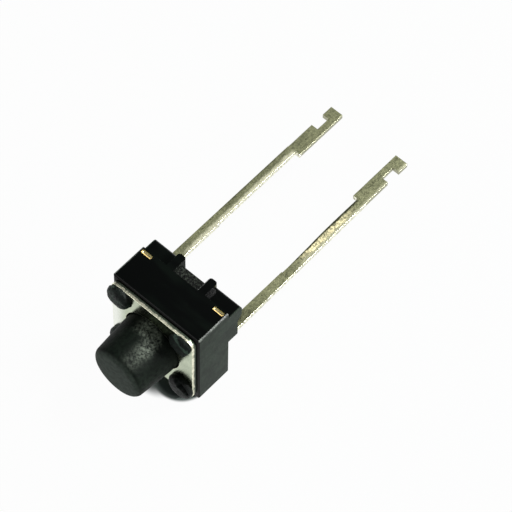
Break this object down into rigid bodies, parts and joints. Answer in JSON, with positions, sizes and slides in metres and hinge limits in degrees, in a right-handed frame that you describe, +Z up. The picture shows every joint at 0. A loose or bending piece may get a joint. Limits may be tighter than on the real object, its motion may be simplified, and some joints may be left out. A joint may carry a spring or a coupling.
{
  "type": "tactile push button switch",
  "caption": "Square tactile push button switch with a tall round button, a staked metal cover and long flat notched leads that run straight out of its back.",
  "frame": {"origin": "on the button's axis, in the plane of the feet that sit on the board", "axes": "+Y along the button's axis, from the button to the leads; +Z up to the side of the housing that shows the cut tie bars, as the switch lies on its side; X across the pair of leads"},
  "size_m": [0.006, 0.0199, 0.006],
  "materials": {
    "housing_plastic": "smooth moulded black plastic, rough and mottled where it was cut or melted",
    "button_plastic": "grainy charcoal black plastic",
    "cover_metal": "pale tinned steel with a faint green cast and bright cut edges",
    "lead_metal": "mottled grey tin plating on brass strip, with bright sheared edges",
    "dome_metal": "bright spring steel sheet"
  },
  "bodies": {
    "housing": {"base_housing": "housing_plastic", "terminal_left": "lead_metal", "terminal_right": "lead_metal", "cover_plate": "cover_metal", "snap_dome": "dome_metal"},
    "button": {"plunger": "button_plastic"}
  },
  "joints": [
    {"name": "button_press", "type": "slide", "parent": "housing", "child": "button", "axis": [0, 1, 0], "range_m": [0, 0.00025], "stiffness_N_per_m": 2500, "springref_m": -0.0004, "deforming": ["snap_dome"]}
  ]
}
